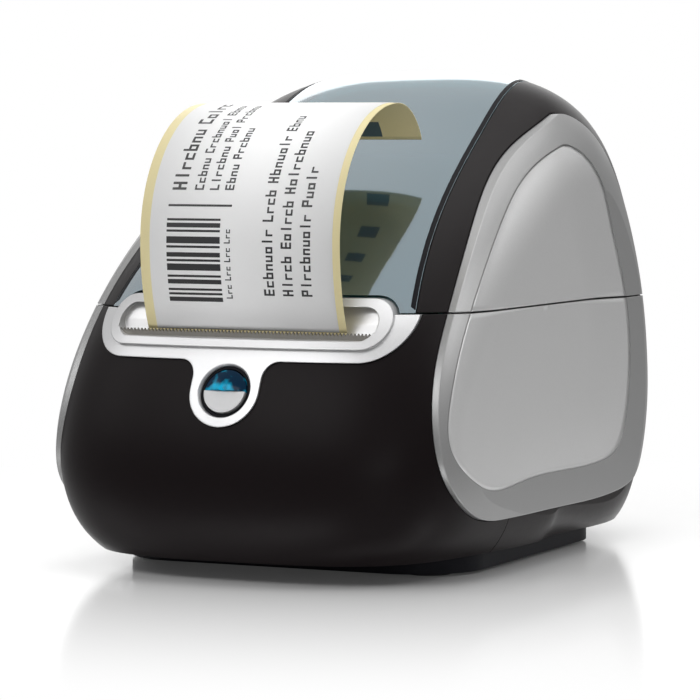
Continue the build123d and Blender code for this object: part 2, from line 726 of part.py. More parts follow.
def spool_cradle(side):
    """Bracket inside the lid with a slot, open to the front, that holds one end of the spool."""
    x0, x1 = sorted((side * CRADLE_X, side * (CRADLE_X + CRADLE_WALL)))
    plate = block(x0, x1, ROLL_Y - CRADLE_HALF, ROLL_Y + CRADLE_HALF, ROLL_Z - CRADLE_HALF, 200)
    plate = plate & hull(WALL + LEDGE_WALL + SEAT_GAP)
    slot_r = STUB_R + RUN_GAP
    mouth = block(x0 - 1, x1 + 1, ROLL_Y - 50, ROLL_Y, ROLL_Z - slot_r, ROLL_Z + slot_r)
    return plate - mouth - rod_x(x0 - 1, x1 + 1, ROLL_Y, ROLL_Z, slot_r)


def spindle():
    """Hollow spool tube with a fixed flange and two stub axles."""
    tube = rod_x(-SPINDLE_HALF, SPINDLE_HALF, ROLL_Y, ROLL_Z, SPINDLE_R)
    inner = SPINDLE_HALF - SPINDLE_WALL
    bore = rod_x(-inner, inner, ROLL_Y, ROLL_Z, SPINDLE_R - SPINDLE_WALL)
    edge = -LINER_WIDTH / 2 - FLANGE_GAP
    flange = rod_x(edge - FLANGE, edge, ROLL_Y, ROLL_Z, FLANGE_R)
    end = CRADLE_X + CRADLE_WALL
    left = rod_x(-end, -SPINDLE_HALF, ROLL_Y, ROLL_Z, STUB_R)
    right = rod_x(SPINDLE_HALF, end, ROLL_Y, ROLL_Z, STUB_R)
    return tube - bore + flange + left + right


def roll_core():
    """Cardboard tube inside the roll."""
    half = LINER_WIDTH / 2
    outer = rod_x(-half, half, ROLL_Y, ROLL_Z, SPINDLE_R + SLIP + CORE_WALL)
    return outer - rod_x(-half, half, ROLL_Y, ROLL_Z, SPINDLE_R + SLIP)


def label_roll():
    """The wound labels."""
    half = LINER_WIDTH / 2
    core = rod_x(-half, half, ROLL_Y, ROLL_Z, SPINDLE_R + 2 * SLIP + CORE_WALL)
    return rod_x(-half, half, ROLL_Y, ROLL_Z, ROLL_R) - core


def spool_guide():
    """Loose flange that slides along the spool to the edge of the roll."""
    edge = LINER_WIDTH / 2 + FLANGE_GAP
    disc = rod_x(edge, edge + FLANGE, ROLL_Y, ROLL_Z, FLANGE_R)
    hub = rod_x(edge, edge + FLANGE + 2, ROLL_Y, ROLL_Z, SPINDLE_R + 3)
    windows = []
    for i in range(4):
        y, z = turned((ROLL_Y, ROLL_Z), 45 + 90 * i, (FLANGE_R + SPINDLE_R + 3) / 2)
        windows.append(rod_x(edge - 1, edge + FLANGE + 1, y, z, 3.2))
    guide = disc + hub - rod_x(edge - 1, edge + FLANGE + 3, ROLL_Y, ROLL_Z, SPINDLE_R + RUN_GAP)
    for window in windows:
        guide = guide - window
    return guide


def gear(teeth, centre, tooth_angle, bore, x0):
    """Spur wheel with straight flanks; one tooth points along tooth_angle in the side view."""
    pitch_r = MODULE * teeth / 2
    half = 0.21 * math.pi * MODULE
    slope = math.tan(math.radians(20)) * MODULE
    radii = (pitch_r - 1.25 * MODULE, pitch_r, pitch_r + 0.9 * MODULE)
    halves = (half + 1.25 * slope, half, half - 0.9 * slope)
    points = []
    for i in range(teeth):
        middle = math.radians(tooth_angle) + 2 * math.pi * i / teeth
        rising = [(r, -h / r) for r, h in zip(radii, halves)]
        falling = [(r, -turn) for r, turn in reversed(rising)]
        for r, turn in rising + falling:
            points.append(turned(centre, math.degrees(middle + turn), r))
    wheel = across(make_face(Polyline(*points, close=True)), x0, x0 + GEAR_WIDTH)
    return wheel - rod_x(x0 - 1, x0 + GEAR_WIDTH + 1, centre[0], centre[1], bore)


def gear_phases():
    """Tooth angles of the platen, idler and motor wheels that bring a tooth into each gap at rest."""
    idler_step = 360 / IDLER_TEETH
    idler = IDLER_ANGLE + 180 + idler_step / 2
    lag = (idler - MOTOR_ANGLE) % idler_step
    pinion = MOTOR_ANGLE + 180 - lag * IDLER_TEETH / PINION_TEETH + 180 / PINION_TEETH
    return IDLER_ANGLE, idler, pinion


GEAR_X = PLATE_OUT + 1.0
PHASES = gear_phases()


def platen_roller():
    """Rubber drive roller above the paper."""
    sleeve = rod_x(-PLATEN_HALF, PLATEN_HALF, *PLATEN, PLATEN_R)
    return sleeve - rod_x(-PLATEN_HALF, PLATEN_HALF, *PLATEN, SHAFT_R + SLIP / 2)


def platen_shaft():
    """Steel shaft of the platen, through both bushes to its wheel."""
    return rod_x(-PLATE_OUT - 2, GEAR_X + GEAR_WIDTH, *PLATEN, SHAFT_R)


def platen_gear():
    """Wheel on the platen's shaft."""
    return gear(PLATEN_TEETH, PLATEN, PHASES[0], SHAFT_R + SLIP / 2, GEAR_X)


def idler_gear():
    """Wheel between the motor and the platen, loose on its stud."""
    return gear(IDLER_TEETH, IDLER, PHASES[1], SHAFT_R + PIN_GAP, GEAR_X)


def motor_pinion():
    """Small wheel on the motor's shaft."""
    return gear(PINION_TEETH, MOTOR, PHASES[2], HEAD_PIVOT_R + SLIP / 2, GEAR_X)


def motor_shaft():
    """Shaft from inside the motor out through the side plate."""
    return rod_x(SIDE_PLATE_X - 6, GEAR_X + GEAR_WIDTH, *MOTOR, HEAD_PIVOT_R)


def stepper_motor():
    """Round motor can with a bored front, bolted to the right side plate."""
    can = rod_x(SIDE_PLATE_X - MOTOR_LENGTH, SIDE_PLATE_X, *MOTOR, MOTOR_R)
    return can - rod_x(SIDE_PLATE_X - 6 - SLIP, SIDE_PLATE_X + 1, *MOTOR, HEAD_PIVOT_R + PIN_GAP)


def idler_stud():
    """Fixed stud that carries the idler wheel."""
    return rod_x(SIDE_PLATE_X, GEAR_X + GEAR_WIDTH + 1, *IDLER, SHAFT_R)


def platen_bushes():
    """Two plain bearings of the platen shaft."""
    bushes = []
    for side in (-1, 1):
        x0, x1 = sorted((side * (SIDE_PLATE_X - 1), side * (PLATE_OUT + 0.5)))
        bush = rod_x(x0, x1, *PLATEN, SHAFT_R + BUSH_WALL)
        bushes.append(bush - rod_x(x0, x1, *PLATEN, SHAFT_R + PIN_GAP))
    return Compound(children=bushes)


def head_shaft():
    """Rod between the side plates that the print head turns on."""
    return rod_x(-PLATE_OUT, PLATE_OUT, *HEAD_PIVOT, HEAD_PIVOT_R)


def mechanism_frame():
    """Folded steel frame: two side plates, a floor flange and a rear tie."""
    foot_z = FLOOR_TOP
    front = NIP[0] - 6
    back = MOTOR[0] + MOTOR_R + 4
    top = PLATEN[1] + SHAFT_R + BUSH_WALL + 2
    side = make_face(Polyline((front + 4, foot_z), (front, foot_z + 22), (front, PLATEN[1]), (front + 5, top),
                              (PLATEN[0] + 8, top), (back, DECK_TOP - 6), (back, foot_z), close=True))
    left = across(side, -PLATE_OUT, -SIDE_PLATE_X)
    right = across(side, SIDE_PLATE_X, PLATE_OUT)
    floor = block(-PLATE_OUT, PLATE_OUT, front + 4, back, foot_z, foot_z + SIDE_PLATE)
    tie_end = SIDE_PLATE_X - MOTOR_LENGTH - 3
    tie = block(-SIDE_PLATE_X, tie_end, back - SIDE_PLATE, back, foot_z, DECK_TOP - 14)
    frame = left + right + floor + tie
    frame = frame - rod_x(-60, 60, *PLATEN, SHAFT_R + BUSH_WALL + SLIP / 2)
    frame = frame - rod_x(-60, 60, *HEAD_PIVOT, HEAD_PIVOT_R + SLIP / 2)
    frame = frame - rod_x(0, 60, *IDLER, SHAFT_R + SLIP / 2)
    return frame - rod_x(0, 60, *MOTOR, HEAD_PIVOT_R + 1)


def feed_box(x0, x1, y0, y1, z0, z1):
    """A box in the frame of the feed plane: y runs back from the nip and z up from the paper."""
    return FEED_PLANE * block(x0, x1, y0, y1, z0, z1)


def print_head():
    """Thermal head: a ceramic strip with its driver cover."""
    half = PLATEN_HALF
    strip = feed_box(-half, half, -4.5, 9, -NIP_GAP - HEAD_WALL, -NIP_GAP)
    return strip


def head_carrier():
    """Finned metal carrier under the head, with lugs on the pivot rod."""
    half = PLATEN_HALF
    top = -NIP_GAP - HEAD_WALL
    plate = feed_box(-half, half, -4.5, HEAD_PIVOT_BACK, top - CARRIER_WALL, top)
    lugs = []
    for side in (-1, 1):
        x0, x1 = sorted((side * (half - 2), side * half))
        lugs.append(rod_x(x0, x1, *HEAD_PIVOT, HEAD_PIVOT_R + 1.3))
    room = rod_x(-half + 2, half - 2, *HEAD_PIVOT, HEAD_PIVOT_R + 1.6)
    return plate - room + lugs[0] + lugs[1] - rod_x(-60, 60, *HEAD_PIVOT, HEAD_PIVOT_R + PIN_GAP)


def release_lever():
    """Tab on the left end of the carrier that opens the head when it is lifted."""
    half = PLATEN_HALF
    low = -NIP_GAP - HEAD_WALL - CARRIER_WALL
    arm = feed_box(-half - 2, -half, -4.5, HEAD_PIVOT_BACK + 8, low, low + 3)
    tab = feed_box(-half - 2, -half, HEAD_PIVOT_BACK + 5, HEAD_PIVOT_BACK + 8, low, low + 18)
    return arm + tab - rod_x(-60, 60, *HEAD_PIVOT, HEAD_PIVOT_R + PIN_GAP)


def head_springs():
    """Two bent leaf springs between the frame's floor and the carrier."""
    top = on_feed(2, -NIP_GAP - HEAD_WALL - CARRIER_WALL - 0.3)
    foot = (top[0] + 10, FLOOR_TOP + SIDE_PLATE + 0.2)
    knee = (top[0] + 2, foot[1] + 14)
    line = Polyline((foot[0] + 6, foot[1]), foot, knee, top)
    springs = []
    for x in (-18, -6):
        springs.append(across(trace(line, 0.3), x - 3, x + 3))
    return Compound(children=springs)


def base_plate():
    """Floor pan on a set-back plinth, with posts for the tray and the board and sunk screw holes."""
    base = (hull(WALL + FIT_GAP) & slab(UNDERSIDE_Z, FLOOR_TOP)) + plinth()
    for x in (-POST_X, POST_X):
        for y in (ROLL_Y - 26, ROLL_Y - 2):
            base = base + post(x, y, FLOOR_TOP - 1, TRAY_LOW - DECK / 2, POST_R)
    for x in (-BOARD_WIDTH / 2 + 4, BOARD_WIDTH / 2 - 4):
        for y in (BOARD_FRONT + 5, BOARD_REAR - 5):
            base = base + post(x, y, FLOOR_TOP - 1, BOARD_Z, 3.0)
    for x in (-SCREW_X, SCREW_X):
        for y in (-SCREW_Y, SCREW_Y):
            base = base - post(x, y, 0, FLOOR_TOP + 1, SCREW_R + SLIP)
            base = base - post(x, y, 0, UNDERSIDE_Z + SCREW_HEAD, SCREW_HEAD_R + FIT_GAP)
    return base


def plinth():
    """Set-back block that carries the body, a little hollow underneath inside its rim."""
    outline = Pos(0, PLINTH_Y, FOOT_HEIGHT) * RectangleRounded(PLINTH_WIDTH, PLINTH_DEPTH, PLINTH_CORNER)
    inside = Pos(0, PLINTH_Y, FOOT_HEIGHT) * RectangleRounded(
        PLINTH_WIDTH - 2 * PLINTH_RIM, PLINTH_DEPTH - 2 * PLINTH_RIM, PLINTH_CORNER - PLINTH_RIM)
    block_up = extrude(outline, UNDERSIDE_Z - FOOT_HEIGHT) - extrude(inside, PLINTH_RECESS)
    for x in (-FOOT_X, FOOT_X):
        for y in (PLINTH_Y - FOOT_Y, PLINTH_Y + FOOT_Y):
            block_up = block_up + post(x, y, FOOT_HEIGHT, FOOT_HEIGHT + PLINTH_RECESS + 1, FOOT_R + 1)
    return block_up


def case_screws():
    """Screws that hold the floor to the covers."""
    screws = []
    for x in (-SCREW_X, SCREW_X):
        for y in (-SCREW_Y, SCREW_Y):
            head = post(x, y, UNDERSIDE_Z + 0.1, UNDERSIDE_Z + SCREW_HEAD, SCREW_HEAD_R)
            screws.append(head + post(x, y, UNDERSIDE_Z + 0.1, FLOOR_TOP + 13, SCREW_R - SLIP / 2))
    return Compound(children=screws)


def rubber_feet():
    """Four round pads under the plinth."""
    pads = []
    for x in (-FOOT_X, FOOT_X):
        for y in (PLINTH_Y - FOOT_Y, PLINTH_Y + FOOT_Y):
            pads.append(post(x, y, 0, FOOT_HEIGHT, FOOT_R))
    return Compound(children=pads)


def main_board():
    """Control board on its posts."""
    board = block(-BOARD_WIDTH / 2, BOARD_WIDTH / 2, BOARD_FRONT, BOARD_REAR, BOARD_Z, BOARD_Z + BOARD)
    chip = block(-14, 2, BOARD_FRONT + 14, BOARD_FRONT + 30, BOARD_Z + BOARD, BOARD_Z + BOARD + 1.6)
    return board + chip


def usb_socket():
    """Square data socket, open to the rear."""
    low = BOARD_Z + BOARD
    case = block(USB_X - USB_HALF, USB_X + USB_HALF, SOCKET_REAR - 16, SOCKET_REAR, low, low + USB_HEIGHT)
    half = USB_HALF - 1
    top = low + USB_HEIGHT - 1
    room = block(USB_X - half, USB_X + half, SOCKET_REAR - 9, SOCKET_REAR + 1, low + 1, top)
    tongue = block(USB_X - 2.8, USB_X + 2.8, SOCKET_REAR - 9.5, SOCKET_REAR - 1, low + 4, low + 7)
    return case - room + tongue


def usb_opening():
    """Room in the rear wall for the data socket."""
    low = BOARD_Z + BOARD
    half = USB_HALF + FIT_GAP
    top = low + USB_HEIGHT + FIT_GAP
    return block(USB_X - half, USB_X + half, SOCKET_REAR - 20, SOCKET_REAR + 20, low - FIT_GAP, top)


def along_y(x, z, y0, y1, radius):
    """A round bar along Y."""
    return Pos(x, (y0 + y1) / 2, z) * Rot(90, 0, 0) * Cylinder(radius, y1 - y0)


def dc_jack():
    """Round power inlet with its centre pin."""
    low = BOARD_Z + BOARD
    middle = low + JACK_HEIGHT / 2
    front = SOCKET_REAR - 14
    case = block(JACK_X - JACK_HALF, JACK_X + JACK_HALF, front, SOCKET_REAR, low, low + JACK_HEIGHT)
    case = case - along_y(JACK_X, middle, SOCKET_REAR - 10, SOCKET_REAR + 1, JACK_BORE_R)
    return case + along_y(JACK_X, middle, SOCKET_REAR - 10.5, SOCKET_REAR - 1, JACK_PIN_R)


def jack_opening():
    """Room in the rear wall for the power inlet."""
    low = BOARD_Z + BOARD
    half = JACK_HALF + FIT_GAP
    top = low + JACK_HEIGHT + FIT_GAP
    return block(JACK_X - half, JACK_X + half, SOCKET_REAR - 20, SOCKET_REAR + 20, low - FIT_GAP, top)


PARTS = {
    "base_plate": base_plate,
    "rubber_feet": rubber_feet,
    "case_screws": case_screws,
    "front_cover": front_cover,
    "rear_cover": rear_cover,
    "side_panel_left": lambda: side_panel(-1, 0, LOW_TOP),
    "side_panel_right": lambda: side_panel(1, 0, LOW_TOP),
    "exit_bezel": exit_bezel,
    "tear_bar": tear_bar,
    "button_collar": button_collar,
    "button_board": button_board,
    "feed_switch": feed_switch,
    "status_lamp": status_lamp,
    "roll_tray": roll_tray,
    "mechanism_frame": mechanism_frame,
    "platen_bushes": platen_bushes,
    "head_shaft": head_shaft,
    "head_springs": head_springs,
    "idler_stud": idler_stud,
    "stepper_motor": stepper_motor,
    "main_board": main_board,
    "usb_socket": usb_socket,
    "dc_jack": dc_jack,
    "hinge_pins": hinge_pins,
    "label_liner": label_liner,
    "printed_label": printed_label,
    "lid_frame": lid_frame,
    "lid_window": lid_window,
    "lid_panel_left": lambda: side_panel(-1, LID_LOW, 200),
    "lid_panel_right": lambda: side_panel(1, LID_LOW, 200),
    "spool_cradle_left": lambda: spool_cradle(-1),
    "spool_cradle_right": lambda: spool_cradle(1),
    "spindle": spindle,
    "roll_core": roll_core,
    "label_roll": label_roll,
    "spool_guide": spool_guide,
    "button_cap": button_cap,
    "button_lens": button_lens,
    "platen_roller": platen_roller,
    "platen_shaft": platen_shaft,
    "platen_gear": platen_gear,
    "idler_gear": idler_gear,
    "motor_shaft": motor_shaft,
    "motor_pinion": motor_pinion,
    "print_head": print_head,
    "head_carrier": head_carrier,
    "release_lever": release_lever,
    "label_guide": label_guide,
}

os.makedirs("parts", exist_ok=True)
for name, make in PARTS.items():
    export_step(make(), f"parts/{name}.step")
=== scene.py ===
import bpy
import json
import math
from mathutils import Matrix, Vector
from mathutils.bvhtree import BVHTree


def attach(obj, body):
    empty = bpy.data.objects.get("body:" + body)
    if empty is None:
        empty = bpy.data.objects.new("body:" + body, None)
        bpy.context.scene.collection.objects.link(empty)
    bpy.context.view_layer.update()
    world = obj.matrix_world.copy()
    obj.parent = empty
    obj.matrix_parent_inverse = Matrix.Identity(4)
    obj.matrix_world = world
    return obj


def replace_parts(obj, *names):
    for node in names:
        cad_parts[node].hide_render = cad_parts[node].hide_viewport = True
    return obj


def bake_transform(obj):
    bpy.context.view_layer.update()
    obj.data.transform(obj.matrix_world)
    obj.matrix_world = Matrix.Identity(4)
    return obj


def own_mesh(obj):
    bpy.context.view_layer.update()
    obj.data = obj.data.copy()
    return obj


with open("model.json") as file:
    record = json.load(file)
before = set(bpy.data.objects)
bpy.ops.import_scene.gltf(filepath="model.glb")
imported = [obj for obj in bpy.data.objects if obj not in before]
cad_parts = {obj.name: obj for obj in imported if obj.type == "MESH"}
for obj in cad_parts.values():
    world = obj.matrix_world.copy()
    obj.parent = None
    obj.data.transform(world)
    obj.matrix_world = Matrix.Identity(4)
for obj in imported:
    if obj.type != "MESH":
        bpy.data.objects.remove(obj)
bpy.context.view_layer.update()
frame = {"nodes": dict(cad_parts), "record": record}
nodes = frame["nodes"]
scene = bpy.context.scene
MM = 0.001

# Materials
COAT_ROUGH = 0.12
GRAIN_DETAIL = 3
GRAIN_DEPTH = 0.0001
EDGE_SAMPLES = 6
LEAST_ROUGH = 0.02
WINDOW_TONE = (0.30, 0.37, 0.41)
WINDOW_CLEAR = (0.34, 0.78, 0.84)
WINDOW_SOLID = 0.76
LENS_TONE = (0.0, 0.05, 0.10)
# Painted light and shade inside the lens: a dark and a bright colour stop, which also set the lens's glow
LENS_PAINTED_LIGHT_STOPS = ((0.44, (0.0, 0.012, 0.03, 1)), (0.62, (0.0, 0.26, 0.42, 1)))
LENS_PAINTED_LIGHT_SCALE = 240.0
LENS_GLOW = 0.45
FINE = 2200.0
PAPER_FINE = 1500.0
COARSE = 300.0


def material(name, color, rough=0.5, metal=0.0, grain=0.0, grain_size=900.0, coat=0.0, mottle=0.0, spec=0.5,
             vary=0.0, edge=0.0):
    """A procedural finish: a slightly uneven colour, roughness that varies, a fine grain and eased edges."""
    mat = bpy.data.materials.new(name)
    mat.use_nodes = True
    tree = mat.node_tree
    bsdf = tree.nodes["Principled BSDF"]
    bsdf.inputs["Base Color"].default_value = (*color, 1)
    bsdf.inputs["Roughness"].default_value = rough
    bsdf.inputs["Metallic"].default_value = metal
    bsdf.inputs["Coat Weight"].default_value = coat
    bsdf.inputs["Coat Roughness"].default_value = COAT_ROUGH
    bsdf.inputs["Specular IOR Level"].default_value = spec
    coords = tree.nodes.new("ShaderNodeTexCoord")
    noise = tree.nodes.new("ShaderNodeTexNoise")
    noise.inputs["Scale"].default_value = grain_size
    noise.inputs["Detail"].default_value = GRAIN_DETAIL
    tree.links.new(coords.outputs["Object"], noise.inputs["Vector"])
    if edge:
        eased = tree.nodes.new("ShaderNodeBevel")
        eased.samples = EDGE_SAMPLES
        eased.inputs["Radius"].default_value = edge
        tree.links.new(eased.outputs["Normal"], bsdf.inputs["Normal"])
    if grain:
        bump = tree.nodes.new("ShaderNodeBump")
        bump.inputs["Strength"].default_value = grain
        bump.inputs["Distance"].default_value = GRAIN_DEPTH
        tree.links.new(noise.outputs["Fac"], bump.inputs["Height"])
        tree.links.new(bump.outputs["Normal"], bsdf.inputs["Normal"])
        if edge:
            tree.links.new(eased.outputs["Normal"], bump.inputs["Normal"])
    if vary:
        tint = tree.nodes.new("ShaderNodeMix")
        tint.data_type = "RGBA"
        tint.inputs["A"].default_value = (*[c * (1 - vary) for c in color], 1)
        tint.inputs["B"].default_value = (*[min(c * (1 + vary), 1) for c in color], 1)
        tree.links.new(noise.outputs["Fac"], tint.inputs["Factor"])
        tree.links.new(tint.outputs["Result"], bsdf.inputs["Base Color"])
    if mottle:
        ramp = tree.nodes.new("ShaderNodeMapRange")
        ramp.inputs["To Min"].default_value = max(rough - mottle, LEAST_ROUGH)
        ramp.inputs["To Max"].default_value = rough + mottle
        tree.links.new(noise.outputs["Fac"], ramp.inputs["Value"])
        tree.links.new(ramp.outputs["Result"], bsdf.inputs["Roughness"])
    return mat


def tinted_window():
    """Smoky blue sheet that mirrors the studio and lets part of the light through."""
    mat = material("window", WINDOW_TONE, rough=0.07, metal=0.85, grain_size=40.0, coat=1.0, mottle=0.015,
                   spec=0.6, vary=0.03)
    tree = mat.node_tree
    bsdf = tree.nodes["Principled BSDF"]
    clear = tree.nodes.new("ShaderNodeBsdfTransparent")
    clear.inputs["Color"].default_value = (*WINDOW_CLEAR, 1)
    mix = tree.nodes.new("ShaderNodeMixShader")
    mix.inputs["Fac"].default_value = WINDOW_SOLID
    tree.links.new(clear.outputs["BSDF"], mix.inputs[1])
    tree.links.new(bsdf.outputs["BSDF"], mix.inputs[2])
    tree.links.new(mix.outputs["Shader"], tree.nodes["Material Output"].inputs["Surface"])
    return mat


def blue_lens():
    """Clear deep blue button lens with painted light and shade inside: darker and lighter patches of colour,
    which also glow.
    """
    mat = material("lens", LENS_TONE, rough=0.1, spec=0.08)
    tree = mat.node_tree
    bsdf = tree.nodes["Principled BSDF"]
    coords = tree.nodes["Texture Coordinate"]
    # Painted light and shade: noise patches between a dark and a bright blue, used as the base colour and as
    # the glow
    painted_light_patches = tree.nodes.new("ShaderNodeTexNoise")
    painted_light_patches.inputs["Scale"].default_value = LENS_PAINTED_LIGHT_SCALE
    painted_light_patches.inputs["Detail"].default_value = 2
    tree.links.new(coords.outputs["Object"], painted_light_patches.inputs["Vector"])
    ramp = tree.nodes.new("ShaderNodeValToRGB")
    for stop, (position, color) in zip(ramp.color_ramp.elements, LENS_PAINTED_LIGHT_STOPS):
        stop.position, stop.color = position, color
    tree.links.new(painted_light_patches.outputs["Fac"], ramp.inputs["Fac"])
    tree.links.new(ramp.outputs["Color"], bsdf.inputs["Base Color"])
    # Painted glow: the patch colour also lights up the lens, though it is no lamp
    tree.links.new(ramp.outputs["Color"], bsdf.inputs["Emission Color"])
    bsdf.inputs["Emission Strength"].default_value = LENS_GLOW
    return mat


finishes = {
    "case_black": material("case", (0.0055, 0.0036, 0.004), rough=0.38, grain=0.08, mottle=0.03, spec=0.06,
                           vary=0.08, edge=0.0004),
    "base_black": material("base", (0.006, 0.006, 0.008), rough=0.5, grain=0.12, spec=0.05, vary=0.08,
                           edge=0.0003),
    "panel_silver": material("panel", (0.25, 0.25, 0.25), rough=0.38, metal=0.6, spec=0.3, grain=0.06,
                             grain_size=FINE, mottle=0.03, vary=0.05, edge=0.0005),
    "bezel_silver": material("bezel", (0.51, 0.51, 0.515), rough=0.34, metal=0.5, grain=0.05, grain_size=FINE,
                             mottle=0.02, vary=0.04, edge=0.0004),
    "button_silver": material("cap", (0.42, 0.42, 0.425), rough=0.45, metal=0.3, grain=0.04, vary=0.04,
                              edge=0.0003),
    "lens_blue": blue_lens(),
    "window_blue": tinted_window(),
    "blade_steel": material("blade", (0.24, 0.23, 0.21), rough=0.35, metal=1.0, mottle=0.06, vary=0.06),
    "screw_steel": material("steel", (0.55, 0.55, 0.56), rough=0.3, metal=1.0, mottle=0.05),
    "frame_steel": material("zinc", (0.55, 0.56, 0.55), rough=0.4, metal=1.0, mottle=0.08, grain_size=120.0),
    "socket_metal": material("socket", (0.62, 0.62, 0.63), rough=0.28, metal=1.0, mottle=0.06, vary=0.05),
    "foot_rubber": material("foot", (0.02, 0.02, 0.02), rough=0.8, grain=0.2),
    "platen_rubber": material("platen", (0.025, 0.025, 0.027), rough=0.7, grain=0.2),
    "board_green": material("board", (0.012, 0.09, 0.04), rough=0.35, mottle=0.06),
    "lamp_clear": material("lamp", (0.65, 0.8, 0.9), rough=0.1, coat=0.5, mottle=0.04, vary=0.05),
    "tray_black": material("tray", (0.02, 0.02, 0.022), rough=0.5, grain=0.15),
    "spool_black": material("spool", (0.03, 0.03, 0.033), rough=0.42, grain=0.1),
    "bush_brass": material("bush", (0.56, 0.40, 0.17), rough=0.32, metal=1.0, mottle=0.08,
                           grain_size=COARSE, vary=0.06),
    "pinion_brass": material("pinion", (0.62, 0.45, 0.2), rough=0.28, metal=1.0, mottle=0.08,
                             grain_size=COARSE, vary=0.06),
    "gear_white": material("gear", (0.74, 0.73, 0.68), rough=0.45, grain=0.05),
    "head_ceramic": material("ceramic", (0.62, 0.58, 0.5), rough=0.3, mottle=0.04),
    "carrier_alloy": material("alloy", (0.68, 0.68, 0.69), rough=0.35, metal=1.0, mottle=0.06),
    "lever_green": material("lever", (0.03, 0.22, 0.14), rough=0.4, grain=0.08, mottle=0.05, vary=0.05),
    "core_card": material("card", (0.42, 0.31, 0.19), rough=0.85, grain=0.3, grain_size=COARSE),
    "label_paper": material("label", (0.93, 0.93, 0.93), rough=0.55, grain=0.03, grain_size=PAPER_FINE,
                            spec=0.3, vary=0.01),
    "liner_paper": material("liner", (0.95, 0.84, 0.48), rough=0.5, grain=0.03, grain_size=PAPER_FINE,
                            spec=0.35, vary=0.02),
}
# Painted light: the bowls get the panels' silver painted lighter, standing in for the brighter light the
# bowls catch
bowl_painted_light_finish = material("dish_painted_lighter", (0.54, 0.54, 0.54), rough=0.36, metal=0.6, spec=0.3, grain=0.06,
                       grain_size=FINE, mottle=0.03, vary=0.05)
ink = material("ink", (0.012, 0.012, 0.013), rough=0.5, grain_size=PAPER_FINE, mottle=0.08, vary=0.15)
sense_ink = material("sense_ink", (0.10, 0.16, 0.2), rough=0.5)

slots = {part["node"]: part["material_slot"] for part in frame["record"]["subparts"]}
for name, obj in nodes.items():
    obj.data.materials.clear()
    obj.data.materials.append(finishes[slots[name]])

# Paper outside the slot, on the path of the CAD strip: where it leaves in the side view (y, z), the degrees
# at which it rises there, and then arcs of (radius, degrees). Lengths are in millimetres.
EXIT = (-74.2, 66.0)
RISE = 68.0
ARCS = ((62.0, 22.0), (37.0, 90.0), (16.5, 66.0))
HALF = 29.5
LINER = 0.2
LABEL = 0.15
LABEL_LEFT, LABEL_RIGHT = -26.6, 27.4
LABEL_START, LABEL_SHORT = 0.2, 1.9
PATCH_STEP = 1.2

# Paper inside the case: straight runs as (0, length) and bends as (radius, degrees)
WEB_START = (16.0, 51.333)
WEB = ((0, 64.402), (25.0, 25.0), (0, 10.0), (10.0, 43.0), (0, 3.0))
WEB_STEPS = 8

# Print on the label: made-up letters of bars as (x0, x1, s0, s1) in a unit box, x across the strip, s along
LETTER_PITCH = 0.72
LETTER_FILL = 0.76
WORD_GAP = 0.5
STEM = (0, 0.3)
SIDE = (0.7, 1)
SPAN = (0.3, 0.7)
OPEN = (0.3, 1)
CAPITALS = (((0, 1, *STEM), (0, 0.2, *OPEN), (0.8, 1, *OPEN)),
            ((0, 1, *STEM), (0, 1, *SIDE), (0.4, 0.6, *SPAN)),
            ((0, 1, *STEM), (0, 0.2, *SPAN), (0.45, 0.62, *SPAN), (0, 0.62, *SIDE)),
            ((0, 1, *STEM), (0, 0.2, *OPEN), (0.42, 0.6, *OPEN), (0.82, 1, *OPEN)),
            ((0, 1, *STEM), (0.8, 1, *OPEN)))
SMALLS = (((0.35, 1, *STEM), (0.35, 1, *SIDE), (0.35, 0.52, *SPAN), (0.83, 1, *SPAN)),
          ((0.35, 1, *STEM), (0.35, 1, *SIDE), (0.35, 0.52, *SPAN)),
          ((0.35, 1, *STEM), (0.35, 0.52, *OPEN), (0.83, 1, *OPEN)),
          ((0, 1, 0.36, 0.66),),
          ((0.35, 1, *STEM), (0.35, 1, *SIDE), (0.83, 1, *SPAN)),
          ((0, 1, *STEM), (0.35, 1, *SIDE), (0.35, 0.52, *SPAN), (0.83, 1, *SPAN)),
          ((0.35, 1, *STEM), (0.35, 0.52, *OPEN)))
INK_RISE = 0.02
# Lines of print as (x of the middle, height, start, lengths of the words)
SENDER = ((-19, 4.2, 38, (21, 15)), (-13, 2.7, 38, (10, 15, 8)), (-8.5, 2.7, 38, (14, 7, 12)),
          (-4, 2.7, 38, (8, 12)))
RULE = (-21.5, -2.5, 33.4, 34.0)
RECEIVER = ((8.5, 3.1, 10, (18, 9, 16, 8)), (14, 3.1, 10, (11, 13, 21)), (19.5, 3.1, 10, (22, 12)))
BAR_ACROSS = (-21.5, -5.5)
BAR_START = 8.0
BARS_AND_GAPS = ((1.2, 0.6), (0.6, 0.6), (0.6, 1.2), (1.2, 0.6), (0.6, 1.2), (1.8, 0.6), (0.6, 0.6),
                 (1.2, 1.2), (0.6, 0.6), (1.8, 1.2), (0.6, 0.6), (1.2, 0.6), (0.6, 1.2))
BAR_CAPTION = (-3.4, 1.8, 9, (4, 4, 4, 4))

# Sensing marks on the strip's back
SENSE_ACROSS = (10, 18)
SENSE_START, SENSE_PITCH, SENSE_LONG, SENSE_COUNT = 25, 14, 5, 6

# Leaf springs of the print head, in the side view
SPRING = ((-48.62, 9.7), (-54.62, 9.7), (-62.62, 23.7), (-64.62, 51.0))
SPRING_X = (-18, -6)
SPRING_HALF = 3
SPRING_THICK = 0.3
SPRING_STEPS = 8


def free_length():
    """Length of the strip outside the slot."""
    return sum(r * math.radians(turn) for r, turn in ARCS)


